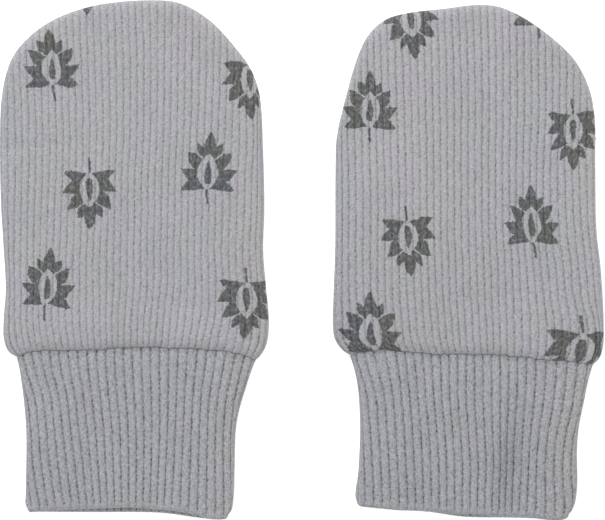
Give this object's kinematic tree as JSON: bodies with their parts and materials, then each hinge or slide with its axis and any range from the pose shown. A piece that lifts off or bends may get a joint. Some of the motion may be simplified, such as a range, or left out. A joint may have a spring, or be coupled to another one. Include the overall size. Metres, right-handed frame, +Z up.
{
  "type": "pair of baby mittens",
  "caption": "Pair of thumbless rib knit baby mittens with round finger ends and long ribbed cuffs, laid flat side by side.",
  "frame": {"origin": "middle of the pair's footprint, on the surface that the pair lies on", "axes": "+X to the right across both mittens, +Y towards the finger ends, +Z up off the surface"},
  "size_m": [0.1578, 0.1357, 0.0059],
  "materials": {
    "bag_rib_knit": "matt heathered grey cotton rib knit with a soft nap and a scattered dark grey leaf print",
    "cuff_rib_knit": "matt heathered grey cotton rib knit, a shade darker, folded double and unprinted"
  },
  "bodies": {
    "root": {"left_front_panel": "bag_rib_knit", "left_back_panel": "bag_rib_knit", "left_cuff": "cuff_rib_knit", "right_front_panel": "bag_rib_knit", "right_back_panel": "bag_rib_knit", "right_cuff": "cuff_rib_knit"}
  },
  "joints": []
}
